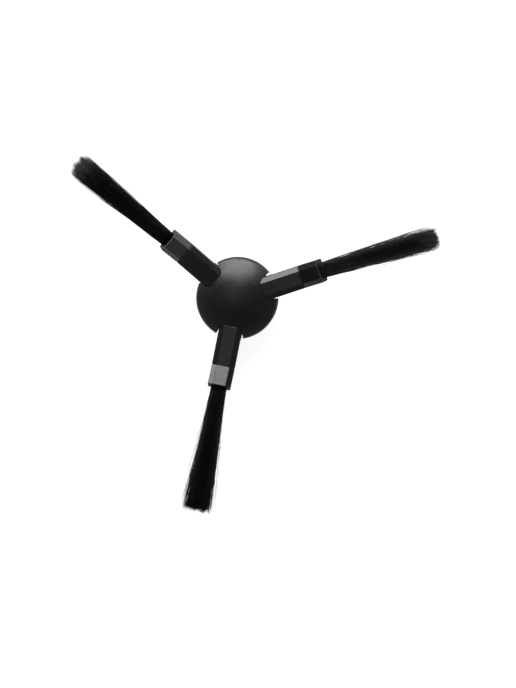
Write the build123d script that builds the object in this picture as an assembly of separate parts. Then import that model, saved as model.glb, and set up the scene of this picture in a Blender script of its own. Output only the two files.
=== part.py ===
from build123d import *
from math import cos, floor, radians, sin, sqrt, tan
import os

# Robot vacuum side brush: a domed hub that pushes onto a drive shaft, with three soft arms
# that each hold a tuft of bristles. Sizes are in millimetres, angles in degrees.
# Z is the spin axis, dome up. Z = 0 is the lower end of the drive boss.

# Arm pattern
arm_count = 3
first_arm_deg = 270.0

# Domed cap
hub_d = 30.0
dome_rise = 5.0
skirt_h = 5.0
cap_wall = 1.6
rim_round = 1.4
window_r = 10.1
window_clear = 0.15
mouth_deg = 40.0
clamp_inset = 2.0
clamp_ring_w = 1.8
pin_inset = 2.8
pin_d = 2.4
pin_clear = 0.1
pin_head_d = 3.8
pin_head_h = 0.8

# Hub base
plate_t = 1.8
plate_clear = 0.1
boss_d = 13.0
boss_h = 8.0
boss_bevel = 0.5
post_d = 10.8
socket_w = 6.2
socket_depth = 10.6
socket_lead = 0.6
latch_w = 3.2
latch_t = 1.3
latch_slot = 0.8
latch_h = 6.8
barb_reach = 0.45
barb_low = 0.8
barb_h = 1.6
rib_t = 1.4
rib_reach = 5.0
rib_h = 4.2

# Soft arms
arm_w = 8.4
arm_top_w = 4.8
arm_edge_drop = 1.3
arm_h = 5.4
arm_rise_deg = 4.0
kink_r = 24.8
crease_w = 0.4
crease_depth = 0.3
end_rise_deg = 20.0
end_len = 7.3
end_h = 6.4
arm_under_round = 0.9
ring_clear = 0.1
ring_pin_gap = 0.4
shoulder_gap = 0.1

# Bristle tufts
root_w = 5.8
root_t = 3.4
root_depth = 6.2
root_clear = 0.03
root_flare_deg = 3.0
root_melt = 1.0
tuft_len = 47.5
tuft_tip_w = 10.5
filament_d = 0.45
filament_gap = 0.1
ragged_tip = 2.4

# Levels and radii that follow from the sizes above
hub_r = hub_d / 2
bore_r = hub_r - cap_wall
pin_circle_r = bore_r - pin_inset
ring_r = pin_circle_r - pin_d / 2 - ring_pin_gap
clamp_ring_r = ring_r - clamp_inset
plate_top = boss_h + plate_t
arm_top = plate_top + arm_h
dome_r = (hub_r**2 + dome_rise**2) / (2 * dome_rise)
dome_centre_z = arm_top - sqrt(dome_r**2 - window_r**2)
crown_z = dome_centre_z + dome_r
rim_z = crown_z - dome_rise
skirt_low_z = rim_z - skirt_h
inner_dome_r = dome_r - cap_wall
tongue_corner_r = sqrt(window_r**2 + (arm_w / 2) ** 2)
ring_top = dome_centre_z + sqrt(inner_dome_r**2 - tongue_corner_r**2) - shoulder_gap
arm_angles = [first_arm_deg + i * 360 / arm_count for i in range(arm_count)]
pin_angles = [angle + 180 / arm_count for angle in arm_angles]
reach = hub_d + kink_r + tuft_len
touch = 0.01

# How boxes and cylinders sit on their own origin: standing on it, or standing and starting from it
standing = (Align.CENTER, Align.CENTER, Align.MIN)
starting = (Align.MIN, Align.CENTER, Align.MIN)


def around(shape, angle):
    """Turn a shape about the spin axis."""
    return Rot(0, 0, angle) * shape


def solid_of(outline, amount):
    """Extrude a side outline, drawn in the XZ plane, equally to both sides of it."""
    return extrude(outline, amount=amount / 2, both=True)


# Side view of one arm that points along +X: its top line rises gently out of the window,
# then kinks upwards into the end section that grips the tuft.
kink_top = Vector(kink_r, 0, arm_top + (kink_r - window_r) * tan(radians(arm_rise_deg)))
end_dir = Vector(cos(radians(end_rise_deg)), 0, sin(radians(end_rise_deg)))
end_down = Vector(sin(radians(end_rise_deg)), 0, -cos(radians(end_rise_deg)))
end_top = kink_top + end_dir * end_len
end_low = end_top + end_down * end_h
half_kink = radians(end_rise_deg - arm_rise_deg) / 2
mean_rise = radians(end_rise_deg + arm_rise_deg) / 2
kink_low = kink_top + Vector(sin(mean_rise), 0, -cos(mean_rise)) * (end_h / cos(half_kink))
end_centre = (end_top + end_low) * 0.5
end_plane = Plane(origin=end_centre, x_dir=(0, 1, 0), z_dir=end_dir)


def arm_section(clear):
    """Cross-section of an arm below its top line: flat top, sloped edges, straight sides."""
    half_top = arm_top_w / 2 + clear
    half_side = arm_w / 2 + clear
    points = [
        (-half_top, clear),
        (half_top, clear),
        (half_side, clear - arm_edge_drop),
        (half_side, -reach),
        (-half_side, -reach),
        (-half_side, clear - arm_edge_drop),
    ]
    return make_face(Polyline(*points, close=True))


def along(start, direction, clear, length):
    """The arm section drawn out from a point of the top line in the given direction."""
    plane = Plane(origin=start, x_dir=(0, 1, 0), z_dir=direction)
    return extrude(plane * arm_section(clear), amount=length)


arm_dir = Vector(cos(radians(arm_rise_deg)), 0, sin(radians(arm_rise_deg)))
mitre = Plane(origin=kink_top, x_dir=(0, 1, 0), z_dir=(cos(mean_rise), 0, sin(mean_rise)))


def arm_blank(clear):
    """Both straight runs of an arm, joined on the mitre at the kink."""
    main = split(along(kink_top - arm_dir * reach, arm_dir, clear, 2 * reach), mitre, Keep.BOTTOM)
    end = split(along(kink_top - end_dir * reach, end_dir, clear, 2 * reach), mitre, Keep.TOP)
    return main + end


def make_crease():
    """Cutter for the narrow crease that runs over an arm at the kink, where the rubber bends."""
    return mitre * Box(2 * arm_w, 2 * end_h, crease_w) - arm_blank(-crease_depth)


def root_body(clear):
    """Fused root of a tuft: an oblong plug that widens inwards, so it can't be pulled out."""
    mouth = end_plane * SlotOverall(root_w + 2 * clear, root_t + 2 * clear)
    return extrude(mouth, amount=-root_depth, taper=-root_flare_deg)


def make_arm():
    """One soft arm along +X, with its flat tongue under the dome and the tuft's pocket."""
    shoulder_r = window_r + shoulder_gap
    shoulder_top = kink_top - arm_dir * ((kink_r - shoulder_r) / arm_dir.X)
    with BuildSketch(Plane.XZ) as outline:
        with BuildLine():
            Polyline(
                (0, plate_top),
                (hub_r, plate_top),
                (kink_low.X, kink_low.Z),
                (end_low.X, end_low.Z),
                (end_top.X, end_top.Z),
                (kink_top.X, kink_top.Z),
                (shoulder_r, shoulder_top.Z),
                (shoulder_r, ring_top),
                (0, ring_top),
                close=True,
            )
        make_face()
    arm = solid_of(outline.sketch, 2 * arm_w) & arm_blank(0)
    under_start = Vector(hub_r, 0, plate_top)
    under_middles = [(under_start + kink_low) * 0.5, (kink_low + end_low) * 0.5]
    under_edges = []
    for edge in arm.edges():
        centre = edge.center()
        along_under = [m for m in under_middles if abs(m.X - centre.X) + abs(m.Z - centre.Z) < touch]
        if along_under and abs(centre.Y) > arm_w / 2 - touch:
            under_edges.append(edge)
    arm = fillet(under_edges, arm_under_round)
    return arm - make_crease() - root_body(root_clear)


def make_arm_spider():
    """The soft moulding: a ring round the hub post with the arms growing out of it."""
    ring_h = ring_top - plate_top
    spider = Pos(0, 0, plate_top) * Cylinder(ring_r, ring_h, align=standing)
    arm = make_arm()
    for angle in arm_angles:
        spider += around(arm, angle)
    post_hole = Cylinder(post_d / 2 + ring_clear, ring_h, align=standing)
    return spider - Pos(0, 0, plate_top) * post_hole


def make_window():
    """Cutter for one window of the cap: the arm's own section, with a flared mouth at the rim."""
    low = skirt_low_z - skirt_h
    tall = reach
    outside = Pos(window_r, 0, low) * Box(reach, hub_d, tall, align=starting)
    window = arm_blank(window_clear) & outside
    spread = tan(radians(mouth_deg / 2))
    far = hub_r + cap_wall
    mouth_start = arm_w / 2 / spread
    points = [
        (mouth_start, -mouth_start * spread),
        (far, -far * spread),
        (far, far * spread),
        (mouth_start, mouth_start * spread),
    ]
    mouth = extrude(make_face(Polyline(*points, close=True)), amount=tall)
    return window + Pos(0, 0, low) * mouth


def make_hub_cap():
    """Domed cap: a thin shell with a skirt, a clamping ring inside and three staked pins."""
    skirt_top_in = dome_centre_z + sqrt(inner_dome_r**2 - bore_r**2)
    mid_r = hub_r / 2
    outer_mid = (mid_r, dome_centre_z + sqrt(dome_r**2 - mid_r**2))
    inner_mid = (mid_r, dome_centre_z + sqrt(inner_dome_r**2 - mid_r**2))
    with BuildSketch(Plane.XZ) as profile:
        with BuildLine():
            ThreePointArc((0, crown_z), outer_mid, (hub_r, rim_z))
            Polyline((hub_r, rim_z), (hub_r, skirt_low_z), (bore_r, skirt_low_z), (bore_r, skirt_top_in))
            ThreePointArc((bore_r, skirt_top_in), inner_mid, (0, crown_z - cap_wall))
            Line((0, crown_z - cap_wall), (0, crown_z))
        make_face()
        rim = [v for v in profile.vertices() if abs(v.X - hub_r) + abs(v.Y - rim_z) < touch]
        fillet(rim, rim_round)
    cap = revolve(profile.sketch, Axis.Z)
    inside = Pos(0, 0, dome_centre_z) * Sphere(inner_dome_r + cap_wall / 2)
    ring_wall = Cylinder(clamp_ring_r + clamp_ring_w / 2, dome_rise, align=standing)
    ring_hole = Cylinder(clamp_ring_r - clamp_ring_w / 2, dome_rise, align=standing)
    cap += (Pos(0, 0, ring_top) * (ring_wall - ring_hole)) & inside
    window = make_window()
    for angle in arm_angles:
        cap -= around(window, angle)
    pin = Pos(0, 0, boss_h) * Cylinder(pin_d / 2, crown_z - boss_h, align=standing)
    head = Pos(0, 0, boss_h - pin_head_h) * Cylinder(pin_head_d / 2, pin_head_h, align=standing)
    head = chamfer(head.edges().sort_by(Axis.Z)[:1], pin_head_h / 2)
    staked = (Pos(pin_circle_r, 0, 0) * (pin + head)) & inside
    for angle in pin_angles:
        cap += around(staked, angle)
    return cap


def make_latch():
    """One springy latch wall of the drive socket, on the +X side, with a barb near its mouth."""
    wall = Pos(socket_w / 2, 0, 0) * Box(latch_t, latch_w, latch_h, align=starting)
    with BuildSketch(Plane.XZ) as barb:
        with BuildLine():
            Polyline(
                (socket_w / 2, barb_low),
                (socket_w / 2 - barb_reach, barb_low + barb_h / 2),
                (socket_w / 2, barb_low + barb_h),
                close=True,
            )
        make_face()
    return wall + solid_of(barb.sketch, latch_w)


def make_hub_base():
    """Base of the hub: plate, arm seats, centring post, ribs and the boss with its drive socket."""
    plate = Pos(0, 0, boss_h) * Cylinder(bore_r - plate_clear, plate_t, align=standing)
    seat_len = hub_r - plate_clear
    seat = Pos(0, 0, boss_h) * Box(seat_len, arm_w, plate_t, align=starting)
    with BuildSketch(Plane.XZ) as rib_side:
        with BuildLine():
            Polyline(
                (0, boss_h),
                (boss_d / 2 + rib_reach, boss_h),
                (boss_d / 2, boss_h - rib_h),
                (0, boss_h - rib_h),
                close=True,
            )
        make_face()
    rib = solid_of(rib_side.sketch, rib_t)
    boss = Cylinder(boss_d / 2, boss_h, align=standing)
    boss = chamfer(boss.edges().sort_by(Axis.Z)[:1], boss_bevel)
    base = plate + boss + Cylinder(post_d / 2, ring_top, align=standing)
    for angle in arm_angles:
        base += around(seat + rib, angle)
    pin_hole = Pos(pin_circle_r, 0, boss_h) * Cylinder(pin_d / 2 + pin_clear, plate_t, align=standing)
    for angle in pin_angles:
        base -= around(pin_hole, angle)
    base -= Box(socket_w, socket_w, socket_depth, align=standing)
    lead_w = socket_w + 2 * socket_lead
    mouth = loft([Rectangle(lead_w, lead_w), Pos(0, 0, socket_lead) * Rectangle(socket_w, socket_w)])
    base -= mouth
    pocket_w = latch_w + 2 * latch_slot
    pocket = Pos(socket_w / 2, 0, 0) * Box(boss_d, pocket_w, latch_h, align=starting)
    for angle in (0, 180):
        base -= around(pocket, angle)
        base += around(make_latch(), angle)
    return base


def filament_places():
    """Filament centres across the root, in a hexagonal pattern that fits inside its oblong."""
    pitch = filament_d + filament_gap
    row_h = pitch * sqrt(3) / 2
    edge = (root_t - filament_d) / 2
    straight = (root_w - root_t) / 2
    rows = floor(edge / row_h)
    columns = floor((straight + edge) / pitch) + 1
    places = []
    for row in range(-rows, rows + 1):
        for column in range(-columns, columns + 1):
            u = (column + 0.5 * (row % 2)) * pitch
            v = row * row_h
            past_straight = max(abs(u) - straight, 0)
            if past_straight**2 + v**2 <= edge**2:
                places.append((u, v))
    return places


def make_tuft():
    """One tuft along +X: the fused root and the filaments that fan out of it."""
    golden = (sqrt(5) - 1) / 2
    tip_spread = tuft_tip_w / root_w
    filaments = []
    for number, (u, v) in enumerate(filament_places()):
        length = tuft_len - ragged_tip * (number * golden % 1)
        spread = 1 + (tip_spread - 1) * length / tuft_len
        start = end_plane.from_local_coords((u, v, -root_melt))
        tip = end_plane.from_local_coords((u * spread, v * spread, length))
        line = tip - start
        section = Plane(origin=start, z_dir=line) * RegularPolygon(filament_d / 2, 6)
        filaments.append(extrude(section, amount=line.length))
    return root_body(0).fuse(*filaments)


os.makedirs("parts", exist_ok=True)
export_step(make_hub_cap(), "parts/hub_cap.step")
export_step(make_hub_base(), "parts/hub_base.step")
export_step(make_arm_spider(), "parts/arm_spider.step")
tuft = make_tuft()
for index, angle in enumerate(arm_angles):
    export_step(around(tuft, angle), f"parts/tuft_{index + 1}.step")
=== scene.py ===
import bpy
import random
from math import cos, pi, radians, sin, sqrt, tan
from mathutils import Matrix, Vector


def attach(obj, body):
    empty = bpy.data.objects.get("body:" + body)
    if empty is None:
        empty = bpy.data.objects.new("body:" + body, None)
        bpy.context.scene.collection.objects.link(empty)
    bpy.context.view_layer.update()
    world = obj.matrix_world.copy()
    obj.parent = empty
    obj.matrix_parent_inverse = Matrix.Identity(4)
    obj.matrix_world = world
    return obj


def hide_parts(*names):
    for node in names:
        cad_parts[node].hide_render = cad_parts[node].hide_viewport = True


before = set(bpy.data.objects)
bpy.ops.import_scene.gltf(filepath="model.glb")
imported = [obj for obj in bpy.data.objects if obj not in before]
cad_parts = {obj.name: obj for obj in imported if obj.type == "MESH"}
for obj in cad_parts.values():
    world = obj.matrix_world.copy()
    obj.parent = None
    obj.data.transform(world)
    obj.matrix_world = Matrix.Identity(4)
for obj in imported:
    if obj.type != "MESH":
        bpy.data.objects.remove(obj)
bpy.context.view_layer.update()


# Hub base: the plate under the dome, with the boss and square socket that push onto the shaft.
# It is injection moulded in black plastic with a matte, spark-eroded mould texture.
# The cap's three pins are staked under it, and only its underside is seen.


def moulded_black(name, tint, haze, gloss, side_gloss, grain_size, grain_depth, edge_round):
    """A black moulded finish: cloudy tone, its own roughness on steep sides, mould grain, worn edges."""
    worn_paler = 2.2
    smear_share = 0.13
    finish = bpy.data.materials.new(name)
    finish.use_nodes = True
    nodes = finish.node_tree.nodes
    links = finish.node_tree.links
    shader = nodes["Principled BSDF"]
    place = nodes.new("ShaderNodeTexCoord")

    clouds = nodes.new("ShaderNodeTexNoise")
    clouds.inputs["Scale"].default_value = 260.0
    clouds.inputs["Detail"].default_value = 6.0
    clouds.inputs["Roughness"].default_value = 0.6
    links.new(place.outputs["Object"], clouds.inputs["Vector"])
    tone = nodes.new("ShaderNodeValToRGB")
    tone.color_ramp.elements[0].position = 0.32
    tone.color_ramp.elements[0].color = (*tint, 1.0)
    tone.color_ramp.elements[1].position = 0.74
    tone.color_ramp.elements[1].color = (*haze, 1.0)
    links.new(clouds.outputs["Fac"], tone.inputs["Fac"])

    rounded = nodes.new("ShaderNodeBevel")
    rounded.samples = 6
    rounded.inputs["Radius"].default_value = edge_round
    flat = nodes.new("ShaderNodeNewGeometry")
    facing = nodes.new("ShaderNodeVectorMath")
    facing.operation = "DOT_PRODUCT"
    links.new(rounded.outputs["Normal"], facing.inputs[0])
    links.new(flat.outputs["Normal"], facing.inputs[1])
    worn = nodes.new("ShaderNodeMapRange")
    worn.inputs["From Min"].default_value = 1.0
    worn.inputs["From Max"].default_value = 0.86
    links.new(facing.outputs["Value"], worn.inputs["Value"])
    patchy = nodes.new("ShaderNodeMath")
    patchy.operation = "MULTIPLY"
    links.new(worn.outputs["Result"], patchy.inputs[0])
    links.new(clouds.outputs["Fac"], patchy.inputs[1])
    rubbed = nodes.new("ShaderNodeMix")
    rubbed.data_type = "RGBA"
    rubbed.inputs["B"].default_value = (*(worn_paler * channel for channel in haze), 1.0)
    links.new(patchy.outputs["Value"], rubbed.inputs["Factor"])
    links.new(tone.outputs["Color"], rubbed.inputs["A"])
    links.new(rubbed.outputs["Result"], shader.inputs["Base Color"])

    smears = nodes.new("ShaderNodeTexNoise")
    smears.inputs["Scale"].default_value = 620.0
    smears.inputs["Detail"].default_value = 4.0
    links.new(place.outputs["Object"], smears.inputs["Vector"])
    sheen = nodes.new("ShaderNodeMapRange")
    sheen.inputs["From Min"].default_value = 0.3
    sheen.inputs["From Max"].default_value = 0.7
    sheen.inputs["To Min"].default_value = (1 - smear_share) * gloss
    sheen.inputs["To Max"].default_value = (1 + smear_share) * gloss
    links.new(smears.outputs["Fac"], sheen.inputs["Value"])
    upright = nodes.new("ShaderNodeSeparateXYZ")
    links.new(flat.outputs["Normal"], upright.inputs["Vector"])
    side = nodes.new("ShaderNodeMapRange")
    side.inputs["From Min"].default_value = 0.62
    side.inputs["From Max"].default_value = 0.42
    links.new(upright.outputs["Z"], side.inputs["Value"])
    gloss_there = nodes.new("ShaderNodeMix")
    gloss_there.inputs["B"].default_value = side_gloss
    links.new(side.outputs["Result"], gloss_there.inputs["Factor"])
    links.new(sheen.outputs["Result"], gloss_there.inputs["A"])
    links.new(gloss_there.outputs["Result"], shader.inputs["Roughness"])

    grain = nodes.new("ShaderNodeTexNoise")
    grain.inputs["Scale"].default_value = 1.0 / grain_size
    grain.inputs["Detail"].default_value = 2.0
    links.new(place.outputs["Object"], grain.inputs["Vector"])
    bump = nodes.new("ShaderNodeBump")
    bump.inputs["Strength"].default_value = 0.5
    bump.inputs["Distance"].default_value = grain_depth
    links.new(grain.outputs["Fac"], bump.inputs["Height"])
    links.new(rounded.outputs["Normal"], bump.inputs["Normal"])
    links.new(bump.outputs["Normal"], shader.inputs["Normal"])
    return finish


def dress(node, finish):
    """Give a CAD piece its finish."""
    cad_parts[node].material_slots[0].material = finish


base_finish = moulded_black(
    "base_matte_plastic",
    tint=(0.016, 0.016, 0.0165),
    haze=(0.022, 0.022, 0.0225),
    gloss=0.52,
    side_gloss=0.65,
    grain_size=0.00035,
    grain_depth=0.00003,
    edge_round=0.00015,
)
dress("hub_base", base_finish)


# Arms: one soft moulding of black thermoplastic rubber, a ring round the hub post with three arms.
# The rubber is satin and a little greasy. Past its crease, one arm's end is painted paler as a painted
# highlight.
# The dome clamps its ring, and each arm's end grips the root of a tuft.

# Painted highlight: the arm at 150° is lightened to a grey past its crease, standing in for light from
# the lower right.
highlight_arm = radians(150.0)
kink_rise = radians(12.0)
kink_r = 0.0248
kink_z = 0.016228
highlight_start = 0.0001
highlight_full = 0.0004
highlight_grey = (0.034, 0.034, 0.0345)

arm_finish = moulded_black(
    "arm_soft_rubber",
    tint=(0.0035, 0.0035, 0.0037),
    haze=(0.0055, 0.0055, 0.0058),
    gloss=0.16,
    side_gloss=0.85,
    grain_size=0.00022,
    grain_depth=0.000003,
    edge_round=0.00018,
)
nodes = arm_finish.node_tree.nodes
links = arm_finish.node_tree.links
shader = nodes["Principled BSDF"]
past_kink = Vector((cos(kink_rise) * cos(highlight_arm), cos(kink_rise) * sin(highlight_arm), sin(kink_rise)))
kink_way = kink_r * cos(kink_rise) + kink_z * sin(kink_rise)
place = nodes.new("ShaderNodeTexCoord")
way_out = nodes.new("ShaderNodeVectorMath")
way_out.operation = "DOT_PRODUCT"
way_out.inputs[1].default_value = past_kink
links.new(place.outputs["Object"], way_out.inputs[0])
# Painted highlight mask, rising to full just past the crease of that arm.
highlight_mask = nodes.new("ShaderNodeMapRange")
highlight_mask.inputs["From Min"].default_value = kink_way + highlight_start
highlight_mask.inputs["From Max"].default_value = kink_way + highlight_full
links.new(way_out.outputs["Value"], highlight_mask.inputs["Value"])
highlight_mix = nodes.new("ShaderNodeMix")
highlight_mix.data_type = "RGBA"
highlight_mix.inputs["B"].default_value = (*highlight_grey, 1.0)
links.new(highlight_mask.outputs["Result"], highlight_mix.inputs["Factor"])
links.new(shader.inputs["Base Color"].links[0].from_socket, highlight_mix.inputs["A"])
links.new(highlight_mix.outputs["Result"], shader.inputs["Base Color"])
dress("arm_spider", arm_finish)


# Bristle tufts: black nylon filaments, cut ragged at the tip, fanned and frayed by use.
# Their inner ends are melted together into an oblong plug, which widens inwards.
# The arm's end was moulded round that plug, so the tuft can't be pulled out.
# Their roots and sides are painted paler: dusty grime, and on the tuft at 30° mostly a painted highlight.

tuft_mouth_r = 0.032754
tuft_mouth_z = 0.015718
tuft_rise = radians(20.0)
tuft_length = 0.0475
tuft_tip_half = 0.0025
plug_width = 0.0058
plug_thick = 0.0034
plug_depth = 0.0062
plug_flare = plug_depth * tan(radians(3.0))
plug_sides = 32
plug_smooth = radians(40)
on_middle = 1e-7
melt_depth = 0.0010
bristle_d = 0.00008
bristle_pitch = 0.00011
bristle_sides = 4
bristle_rings = 7
bristle_smooth = radians(100)
tip_from = 0.999
tip_taper = 0.55
root_stray = 0.45
wander = 0.00018
lock_size = 0.0004
least_cut = 0.1
lock_cut_share = 0.45
own_cut_share = 0.3
stray_share = 0.4
frayed_stray = 1.6
most_broken = 0.45
bow_range = 0.4
least_fray = 0.5
worn_from = 0.75
dust_and_sheen_fade = 0.8


def pick_points(piece, wanted):
    """Select only the points of a mesh whose place is wanted, and end in edit mode."""
    bpy.ops.object.mode_set(mode="EDIT")
    bpy.ops.mesh.select_all(action="DESELECT")
    bpy.ops.object.mode_set(mode="OBJECT")
    for vertex in piece.data.vertices:
        vertex.select = wanted(vertex.co)
    bpy.ops.object.mode_set(mode="EDIT")


bpy.ops.object.select_all(action="DESELECT")
bpy.ops.mesh.primitive_cylinder_add(
    vertices=bristle_sides, radius=bristle_d / 2, depth=1.0, location=(0, 0, 0.5)
)
bristle = bpy.context.object
bpy.ops.object.transform_apply(location=True, rotation=True, scale=True)
bpy.ops.object.mode_set(mode="EDIT")
bpy.ops.mesh.select_mode(type="EDGE")
bpy.ops.mesh.select_all(action="DESELECT")
bpy.ops.object.mode_set(mode="OBJECT")
for edge in bristle.data.edges:
    start, end = (bristle.data.vertices[i].co.z for i in edge.vertices)
    edge.select = abs(end - start) > 0.5
bpy.ops.object.mode_set(mode="EDIT")
bpy.ops.mesh.subdivide(number_cuts=bristle_rings)
bpy.ops.mesh.select_mode(type="VERT")
pick_points(bristle, lambda point: point.z > tip_from)
bpy.ops.transform.resize(value=(tip_taper, tip_taper, 1.0))
bpy.ops.object.mode_set(mode="OBJECT")
bpy.ops.object.shade_smooth_by_angle(angle=bristle_smooth)

bpy.ops.object.select_all(action="DESELECT")
bpy.ops.mesh.primitive_circle_add(vertices=plug_sides, radius=plug_thick / 2, fill_type="NGON")
plug = bpy.context.object
for side in (-1, 1):
    pick_points(plug, lambda point: point.x * side > -on_middle)
    bpy.ops.transform.translate(value=(side * (plug_width - plug_thick) / 2, 0, 0))
bpy.ops.mesh.select_all(action="SELECT")
bpy.ops.mesh.extrude_region_move(TRANSFORM_OT_translate={"value": (0, 0, -plug_depth)})
bpy.ops.transform.resize(value=(1 + 2 * plug_flare / plug_width, 1 + 2 * plug_flare / plug_thick, 1.0))
bpy.ops.mesh.select_all(action="SELECT")
bpy.ops.mesh.normals_make_consistent(inside=False)
bpy.ops.object.mode_set(mode="OBJECT")
bpy.ops.object.shade_smooth_by_angle(angle=plug_smooth)

for piece in (bristle, plug):
    piece.data.attributes.new("strand_tone", "FLOAT", "POINT")
    piece.data.attributes.new("strand_pale", "FLOAT", "POINT")

nylon = bpy.data.materials.new("bristle_nylon_black")
nylon.use_nodes = True
nodes = nylon.node_tree.nodes
links = nylon.node_tree.links
shader = nodes["Principled BSDF"]
shader.inputs["Specular IOR Level"].default_value = 0.01
strand_tone = nodes.new("ShaderNodeAttribute")
strand_tone.attribute_name = "strand_tone"
strand_pale = nodes.new("ShaderNodeAttribute")
strand_pale.attribute_name = "strand_pale"
tones = nodes.new("ShaderNodeValToRGB")
tones.color_ramp.elements[0].color = (0.0016, 0.0016, 0.0016, 1.0)
tones.color_ramp.elements[1].color = (0.0040, 0.0040, 0.0041, 1.0)
links.new(strand_tone.outputs["Fac"], tones.inputs["Fac"])
place = nodes.new("ShaderNodeTexCoord")
specks = nodes.new("ShaderNodeTexNoise")
specks.inputs["Scale"].default_value = 900.0
specks.inputs["Detail"].default_value = 3.0
links.new(place.outputs["Object"], specks.inputs["Vector"])
patchy = nodes.new("ShaderNodeMapRange")
patchy.inputs["From Min"].default_value = 0.3
patchy.inputs["From Max"].default_value = 0.7
patchy.inputs["To Min"].default_value = 0.6
patchy.inputs["To Max"].default_value = 1.4
links.new(specks.outputs["Fac"], patchy.inputs["Value"])
# Paling mask, broken up by specks: dusty grime, worn tips and, on one tuft, painted highlight.
dust_and_sheen = nodes.new("ShaderNodeMath")
dust_and_sheen.operation = "MULTIPLY"
links.new(strand_pale.outputs["Fac"], dust_and_sheen.inputs[0])
links.new(patchy.outputs["Result"], dust_and_sheen.inputs[1])
paled = nodes.new("ShaderNodeMix")
paled.data_type = "RGBA"
paled.inputs["B"].default_value = (0.060, 0.060, 0.061, 1.0)
links.new(dust_and_sheen.outputs["Value"], paled.inputs["Factor"])
links.new(tones.outputs["Color"], paled.inputs["A"])
links.new(paled.outputs["Result"], shader.inputs["Base Color"])
drawn = nodes.new("ShaderNodeMapRange")
drawn.inputs["To Min"].default_value = 0.42
drawn.inputs["To Max"].default_value = 0.62
links.new(strand_tone.outputs["Fac"], drawn.inputs["Value"])
links.new(drawn.outputs["Result"], shader.inputs["Roughness"])


def bristle_roots(chance):
    """Places across the plug's face: a hexagonal pattern, each a little off its place, in the oblong."""
    row_step = bristle_pitch * sqrt(3) / 2
    edge = (plug_thick - bristle_d) / 2
    straight = (plug_width - plug_thick) / 2
    rows = int(edge / row_step)
    columns = int((straight + edge) / bristle_pitch) + 1
    roots = []
    for row in range(-rows, rows + 1):
        for column in range(-columns, columns + 1):
            offset = 0.5 * (row % 2)
            across = (column + offset + chance.uniform(-root_stray, root_stray)) * bristle_pitch
            up = (row + chance.uniform(-root_stray, root_stray)) * row_step
            if max(abs(across) - straight, 0) ** 2 + up**2 <= edge**2:
                roots.append((across, up))
    return roots


def grow_tuft(
    name, arm_deg, shorter, tip_round, ragged, spread, flare, lean, loose_cw, loose_ccw, reach,
    frayed, dust_and_sheen, side_dust_and_sheen, fray, seed,
):
    """Copies of the bristle joined to a copy of the plug, and set in the mouth of an arm.

    Neighbours cling together in locks. Frayed bristles are cut anywhere, broken short or bent aside.
    shorter, tip_round and ragged trim the tip; spread, flare and lean fan the bristles out;
    loose_cw, loose_ccw and reach say how far a tip strays; three paling amounts pale the root, the sides
    and worn tips.
    The root and side paling is dusty grime, and on the tuft at 30° it is mostly painted highlight.
    """
    chance = random.Random(seed)

    def drift():
        """How far a tip lies aside of its place, more often a little than far, to either side."""
        if chance.random() < 0.5:
            return chance.expovariate(1 / loose_ccw)
        return -chance.expovariate(1 / loose_cw)

    locks = {}
    pieces = []
    for across, up in bristle_roots(chance):
        cell = (round(across / lock_size), round(up / lock_size))
        lock_cut, lock_drift = locks.setdefault(cell, (chance.random(), drift()))
        strand = bristle.copy()
        strand.data = bristle.data.copy()
        bpy.context.collection.objects.link(strand)
        outer = abs(across) / (plug_width / 2)
        cut = least_cut + lock_cut_share * lock_cut + own_cut_share * chance.random()
        stray = stray_share * lock_drift + stray_share * drift()
        broken = 0
        if chance.random() < frayed:
            cut = chance.random()
            broken = most_broken * chance.random() ** 2
            stray = frayed_stray * drift()
        length = (tuft_length - shorter - tip_round * outer**4 - ragged * cut) * (1 - broken)
        fan = 1 + (spread - 1) * length / tuft_length
        tip_across = across * fan + stray
        if abs(tip_across) > reach:
            tip_across = chance.uniform(-reach, reach)
        tip_up = max(-tuft_tip_half, min(tuft_tip_half, up * fan + chance.gauss(0, wander)))
        aside = abs(tip_across) / reach
        bow = flare * chance.uniform(1 - bow_range, 1 + bow_range)
        tone = chance.random()
        worn_tip = fray * chance.uniform(least_fray, 1)
        for vertex, tone_item, pale_item in zip(
            strand.data.vertices,
            strand.data.attributes["strand_tone"].data,
            strand.data.attributes["strand_pale"].data,
        ):
            t = vertex.co.z
            bend = (1 - bow) * t + bow * t * t
            worn = max(0, (t - worn_from) / (1 - worn_from)) ** 3
            # Paling: dusty grime at root and sides, mostly painted highlight on the tuft at 30°, plus
            # worn tips.
            pale = dust_and_sheen * (1 - dust_and_sheen_fade * t) + side_dust_and_sheen * aside**3 + worn_tip * worn
            tone_item.value = tone
            pale_item.value = min(1, pale)
            vertex.co.x += across + (tip_across - across) * bend + lean * length * t
            vertex.co.y += up + (tip_up - up) * bend
            vertex.co.z = t * (length + melt_depth) - melt_depth
        pieces.append(strand)
    root = plug.copy()
    root.data = plug.data.copy()
    bpy.context.collection.objects.link(root)
    pieces.append(root)
    bpy.ops.object.select_all(action="DESELECT")
    for piece in pieces:
        piece.select_set(True)
    bpy.context.view_layer.objects.active = root
    bpy.ops.object.join()
    root.name = name
    root.data.name = name
    along = Vector((cos(tuft_rise), 0, sin(tuft_rise)))
    sideways = Vector((0, 1, 0))
    out = Matrix((sideways, along.cross(sideways), along)).transposed().to_4x4()
    out.translation = (tuft_mouth_r, 0, tuft_mouth_z)
    root.data.transform(Matrix.Rotation(radians(arm_deg), 4, "Z") @ out)
    root.data.materials.clear()
    root.data.materials.append(nylon)
    return root


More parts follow.
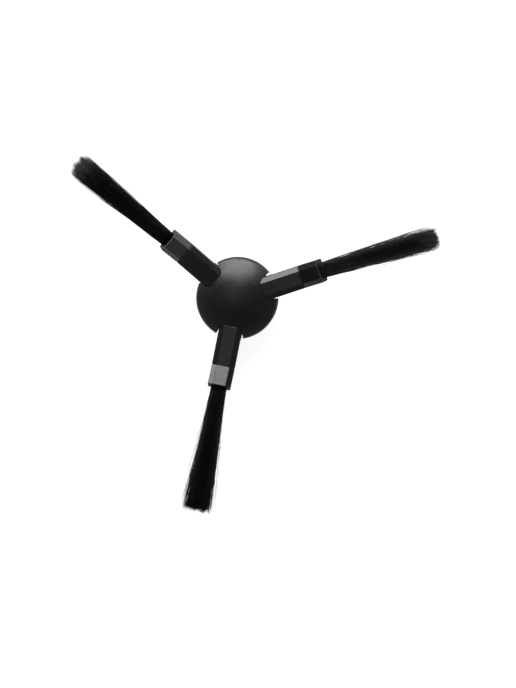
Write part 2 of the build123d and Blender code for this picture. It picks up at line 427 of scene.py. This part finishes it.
# The tuft at 30° gets the most root and side paling, a painted highlight where its strands catch the
# softbox.
tufts = {
    "tuft_1": grow_tuft(
        "bristles_1", 270.0, shorter=0.0, tip_round=0.0, ragged=0.0042,
        spread=1.58, flare=0.25, lean=0.0408,
        loose_cw=0.00118, loose_ccw=0.00066, reach=0.0066, frayed=0.30,
        dust_and_sheen=0.04, side_dust_and_sheen=0.9, fray=0.25, seed=11,
    ),
    "tuft_2": grow_tuft(
        "bristles_2", 30.0, shorter=0.0001, tip_round=0.0, ragged=0.0044,
        spread=0.95, flare=-0.02, lean=-0.0189,
        loose_cw=0.00110, loose_ccw=0.00077, reach=0.0048, frayed=0.35,
        dust_and_sheen=0.30, side_dust_and_sheen=2.2, fray=1.2, seed=12,
    ),
    "tuft_3": grow_tuft(
        "bristles_3", 150.0, shorter=0.0016, tip_round=0.0001, ragged=0.0054,
        spread=1.40, flare=-0.05, lean=-0.0119,
        loose_cw=0.00102, loose_ccw=0.00090, reach=0.0050, frayed=0.32,
        dust_and_sheen=0.18, side_dust_and_sheen=0.3, fray=1.6, seed=13,
    ),
}
for node, tuft in tufts.items():
    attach(tuft, "root")
    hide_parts(node)
bpy.data.objects.remove(bristle)
bpy.data.objects.remove(plug)


# Hub cap: the domed cover over the arms' ring, moulded in satin black plastic.
# Three windows in its skirt let the arms out, and pins inside it are staked under the base.
# Handling leaves it slightly hazy, and paler along its edges.

cap_finish = moulded_black(
    "cap_satin_plastic",
    tint=(0.0050, 0.0050, 0.0053),
    haze=(0.0075, 0.0075, 0.0079),
    gloss=0.34,
    side_gloss=0.95,
    grain_size=0.00025,
    grain_depth=0.000006,
    edge_round=0.00015,
)
dress("hub_cap", cap_finish)


# Floor: a wide sheet of white paper that the brush stands on.
# Cameras and reflections see it glow, a little less close to the brush than far out.
# All other light falls on it as on grey paper, so the brush's soft shadow stays.

floor_size = 24.0
paper_grey = (0.4, 0.4, 0.4)
near_brush = 0.2
far_out = 0.5
near_glow = 0.88
far_glow = 1.0

bpy.ops.object.select_all(action="DESELECT")
bpy.ops.mesh.primitive_plane_add(size=floor_size, location=(0, 0, 0))
floor = bpy.context.object
floor.name = "floor"
white = bpy.data.materials.new("white_sheet")
white.use_nodes = True
nodes = white.node_tree.nodes
links = white.node_tree.links
shader = nodes["Principled BSDF"]
shader.inputs["Base Color"].default_value = (*paper_grey, 1.0)
shader.inputs["Roughness"].default_value = 0.9
shader.inputs["Emission Color"].default_value = (1.0, 1.0, 1.0, 1.0)
ray = nodes.new("ShaderNodeLightPath")
seen = nodes.new("ShaderNodeMath")
seen.operation = "MAXIMUM"
links.new(ray.outputs["Is Camera Ray"], seen.inputs[0])
links.new(ray.outputs["Is Glossy Ray"], seen.inputs[1])
through = nodes.new("ShaderNodeMath")
through.operation = "MAXIMUM"
links.new(seen.outputs["Value"], through.inputs[0])
links.new(ray.outputs["Is Transmission Ray"], through.inputs[1])
place = nodes.new("ShaderNodeTexCoord")
away = nodes.new("ShaderNodeVectorMath")
away.operation = "LENGTH"
links.new(place.outputs["Object"], away.inputs[0])
paper = nodes.new("ShaderNodeMapRange")
paper.inputs["From Min"].default_value = near_brush
paper.inputs["From Max"].default_value = far_out
paper.inputs["To Min"].default_value = near_glow
paper.inputs["To Max"].default_value = far_glow
links.new(away.outputs["Value"], paper.inputs["Value"])
lifted = nodes.new("ShaderNodeMath")
lifted.operation = "MULTIPLY"
links.new(through.outputs["Value"], lifted.inputs[0])
links.new(paper.outputs["Result"], lifted.inputs[1])
links.new(lifted.outputs["Value"], shader.inputs["Emission Strength"])
floor.data.materials.append(white)


# Light: a wide softbox beyond the top of the picture with a small card above it, a weak card
# overhead and three small ones low at the sides and in front, in a dim room pale along the horizon.

roll = radians(11.13)


def card_light(name, way_deg, rise_deg, far, wide, tall, glow):
    """A flat light that faces the brush, in a direction given from the picture's right side."""
    way = roll + radians(way_deg)
    rise = radians(rise_deg)
    out = Vector((cos(rise) * cos(way), cos(rise) * sin(way), sin(rise)))
    bpy.ops.object.light_add(type="AREA", location=out * far)
    light = bpy.context.object
    light.name = name
    light.rotation_euler = out.to_track_quat("Z", "Y").to_euler()
    light.data.shape = "RECTANGLE"
    light.data.size = wide
    light.data.size_y = tall
    light.data.energy = glow * pi * wide * tall


card_light("softbox", way_deg=93.0, rise_deg=31.5, far=0.80, wide=0.83, tall=0.60, glow=6.6)
card_light("top_card", way_deg=85.7, rise_deg=60.0, far=0.80, wide=0.11, tall=0.11, glow=7.0)
card_light("ceiling_card", way_deg=150.5, rise_deg=80.9, far=0.90, wide=0.36, tall=0.32, glow=0.45)
card_light("left_card", way_deg=150.5, rise_deg=9.0, far=0.50, wide=0.17, tall=0.11, glow=5.8)
card_light("right_card", way_deg=30.0, rise_deg=18.5, far=0.50, wide=0.24, tall=0.14, glow=1.3)
card_light("front_card", way_deg=254.0, rise_deg=4.5, far=0.50, wide=0.18, tall=0.05, glow=1.2)

room = bpy.data.worlds.new("pale_room")
bpy.context.scene.world = room
room.use_nodes = True
nodes = room.node_tree.nodes
links = room.node_tree.links
look = nodes.new("ShaderNodeTexCoord")
split = nodes.new("ShaderNodeSeparateXYZ")
links.new(look.outputs["Generated"], split.inputs["Vector"])
height = nodes.new("ShaderNodeValToRGB")
height.color_ramp.elements[0].position = 0.03
height.color_ramp.elements[0].color = (0.50, 0.50, 0.50, 1.0)
height.color_ramp.elements[1].position = 0.62
height.color_ramp.elements[1].color = (0.10, 0.10, 0.102, 1.0)
for position, grey in ((0.11, 0.17), (0.40, 0.21)):
    step = height.color_ramp.elements.new(position)
    step.color = (grey, grey, grey, 1.0)
links.new(split.outputs["Z"], height.inputs["Fac"])
links.new(height.outputs["Color"], nodes["Background"].inputs["Color"])


# Camera: almost straight above the brush, a little towards the picture's upper right.
# It is rolled so that one tuft points down the picture, a little to its left.

camera_far = 0.7005
camera_tilt = radians(7.26)
camera_way = radians(67.93)
aim = Vector((0.01086, -0.01486, 0.01233))
back = Vector((sin(camera_tilt) * cos(camera_way), sin(camera_tilt) * sin(camera_way), cos(camera_tilt)))
up = Vector((-sin(roll), cos(roll), 0))
up = (up - back * up.dot(back)).normalized()
bpy.ops.object.camera_add(location=aim + back * camera_far)
camera = bpy.context.object
camera.rotation_euler = Matrix((up.cross(back), up, back)).transposed().to_euler()
camera.data.lens = 100.0
camera.data.clip_start = 0.01
bpy.context.scene.camera = camera

bpy.context.scene.view_settings.view_transform = "Standard"
